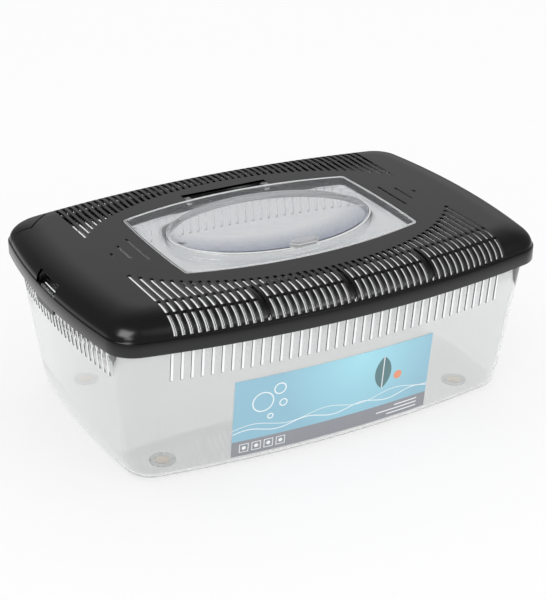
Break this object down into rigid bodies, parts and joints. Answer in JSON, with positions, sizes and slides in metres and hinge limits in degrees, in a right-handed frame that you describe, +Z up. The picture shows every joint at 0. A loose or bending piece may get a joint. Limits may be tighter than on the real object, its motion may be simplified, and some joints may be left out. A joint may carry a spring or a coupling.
{
  "type": "plastic pet keeper",
  "caption": "Flat clear plastic keeper for small animals, with bowed drafted walls, a black slotted lid that clips on and a clear hinged feeding hatch.",
  "frame": {"origin": "on the ground under the middle of the tub", "axes": "+X along the long side to the right seen from the front, -Y to the front with the label, +Z up"},
  "size_m": [0.46, 0.322, 0.179],
  "materials": {
    "clear_tub": "clear injection-moulded plastic, glossy",
    "black_lid": "black moulded plastic, satin",
    "clear_hatch": "clear injection-moulded plastic, glossy",
    "label_film": null,
    "foot_pad": "beige soft pad"
  },
  "bodies": {
    "tub": {"tub": "clear_tub", "label": "label_film", "foot_pad_front_left": "foot_pad", "foot_pad_front_right": "foot_pad", "foot_pad_back_left": "foot_pad", "foot_pad_back_right": "foot_pad"},
    "lid": {"lid": "black_lid"},
    "hatch": {"hatch": "clear_hatch"}
  },
  "joints": [
    {"name": "lid_lift", "type": "slide", "parent": "tub", "child": "lid", "axis": [0, 0, 1], "range_m": [0, 0.25]},
    {"name": "hatch_hinge", "type": "hinge", "parent": "lid", "child": "hatch", "pos_m": [0, 0.0915, 0.1698], "axis": [-1, 0, 0], "range_deg": [0, 105]}
  ]
}
